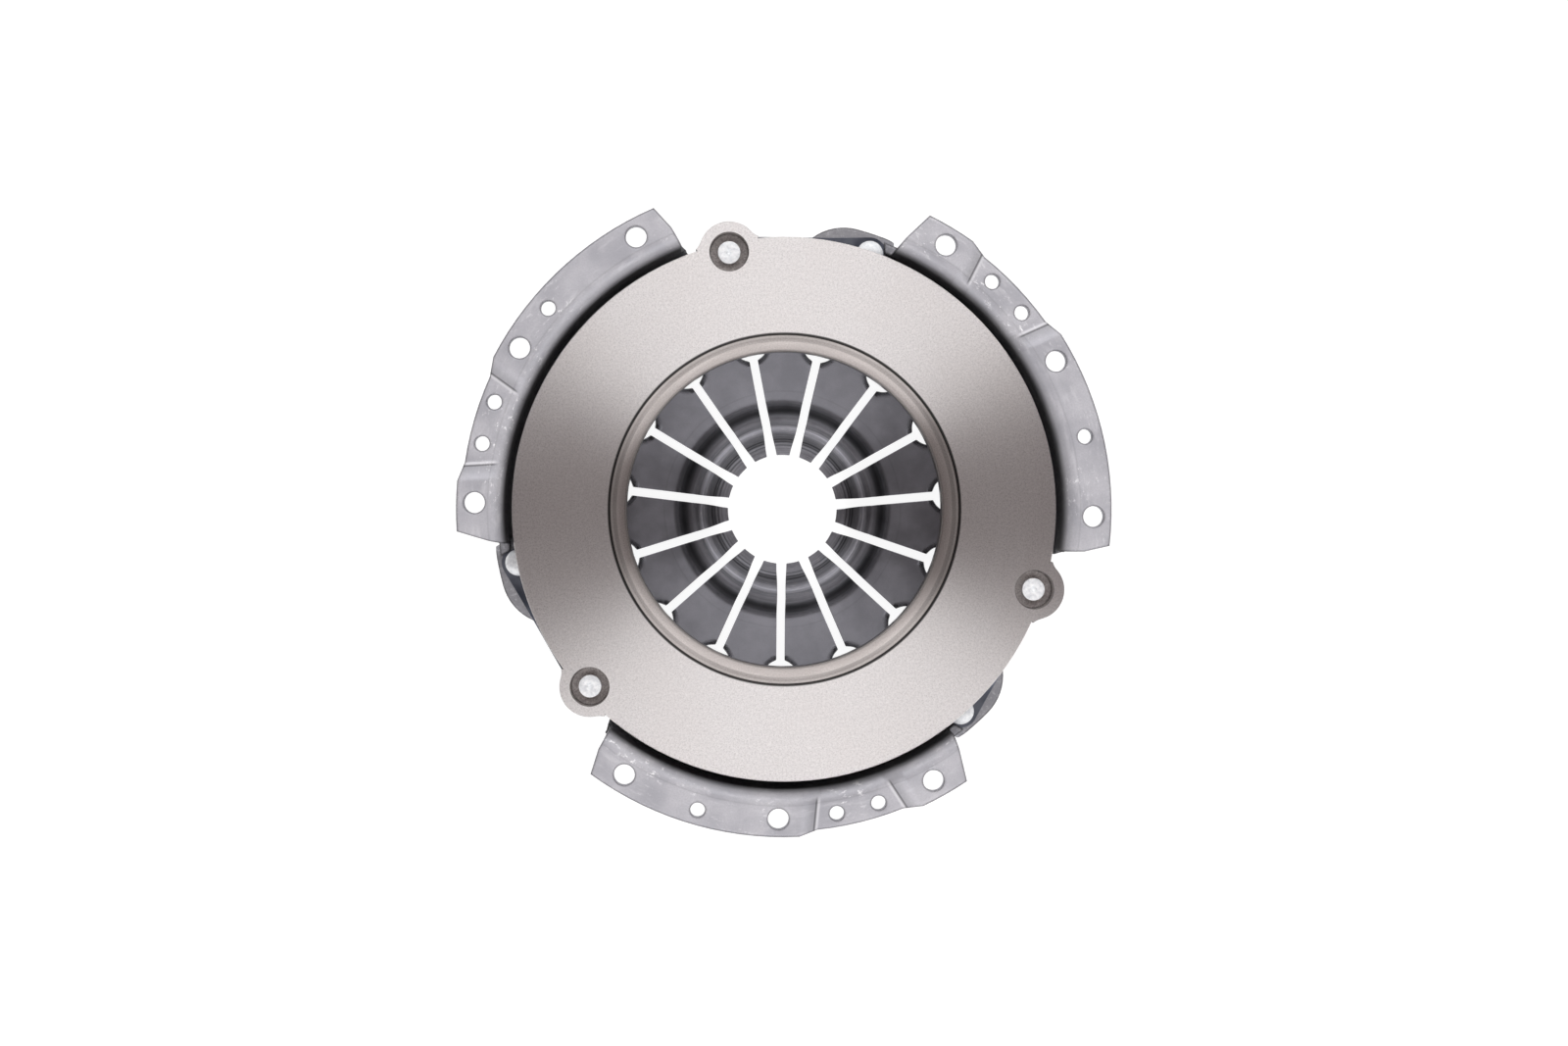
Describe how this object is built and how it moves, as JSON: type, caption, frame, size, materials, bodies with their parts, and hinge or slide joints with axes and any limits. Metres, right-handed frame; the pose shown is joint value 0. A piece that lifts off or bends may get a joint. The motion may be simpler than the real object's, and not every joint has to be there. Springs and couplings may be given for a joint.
{
  "type": "clutch pressure plate",
  "caption": "Diaphragm-spring clutch cover assembly with a riveted cast pressure plate carried on leaf straps in a pressed steel cover.",
  "frame": {"origin": "on the axis of rotation, in the plane of the cover's flange face that bolts to the flywheel", "axes": "+Z along the axis towards the flywheel; +X through the first bolt hole of a flange segment"},
  "size_m": [0.2646, 0.2523, 0.0416],
  "materials": {
    "cover_steel": "bare pressed steel, satin, with scuffs from handling",
    "plate_iron": "grey iron with a fine-turned friction face",
    "spring_steel": "dark oiled spring steel",
    "ring_wire": "drawn wire, dull grey",
    "strap_steel": "blued spring steel strip",
    "rivet_steel": "zinc-plated steel, satin"
  },
  "bodies": {
    "cover": {"cover": "cover_steel", "diaphragm_spring": "spring_steel", "fulcrum_ring_plate_side": "ring_wire", "fulcrum_ring_cover_side": "ring_wire", "spring_rivets": "rivet_steel", "strap_1_leaf_1": "strap_steel", "strap_1_leaf_2": "strap_steel", "strap_1_leaf_3": "strap_steel", "strap_2_leaf_1": "strap_steel", "strap_2_leaf_2": "strap_steel", "strap_2_leaf_3": "strap_steel", "strap_3_leaf_1": "strap_steel", "strap_3_leaf_2": "strap_steel", "strap_3_leaf_3": "strap_steel", "strap_cover_rivet_1": "rivet_steel", "strap_cover_rivet_2": "rivet_steel", "strap_cover_rivet_3": "rivet_steel"},
    "pressure_plate": {"pressure_plate": "plate_iron", "strap_plate_rivet_1": "rivet_steel", "strap_plate_rivet_2": "rivet_steel", "strap_plate_rivet_3": "rivet_steel"}
  },
  "joints": [
    {"name": "plate_lift", "type": "slide", "parent": "cover", "child": "pressure_plate", "axis": [0, 0, 1], "range_m": [-0.0035, 0], "stiffness_N_per_m": 60000, "springref_m": 0.002, "deforming": ["diaphragm_spring", "strap_1_leaf_1", "strap_1_leaf_2", "strap_1_leaf_3", "strap_2_leaf_1", "strap_2_leaf_2", "strap_2_leaf_3", "strap_3_leaf_1", "strap_3_leaf_2", "strap_3_leaf_3"]}
  ]
}
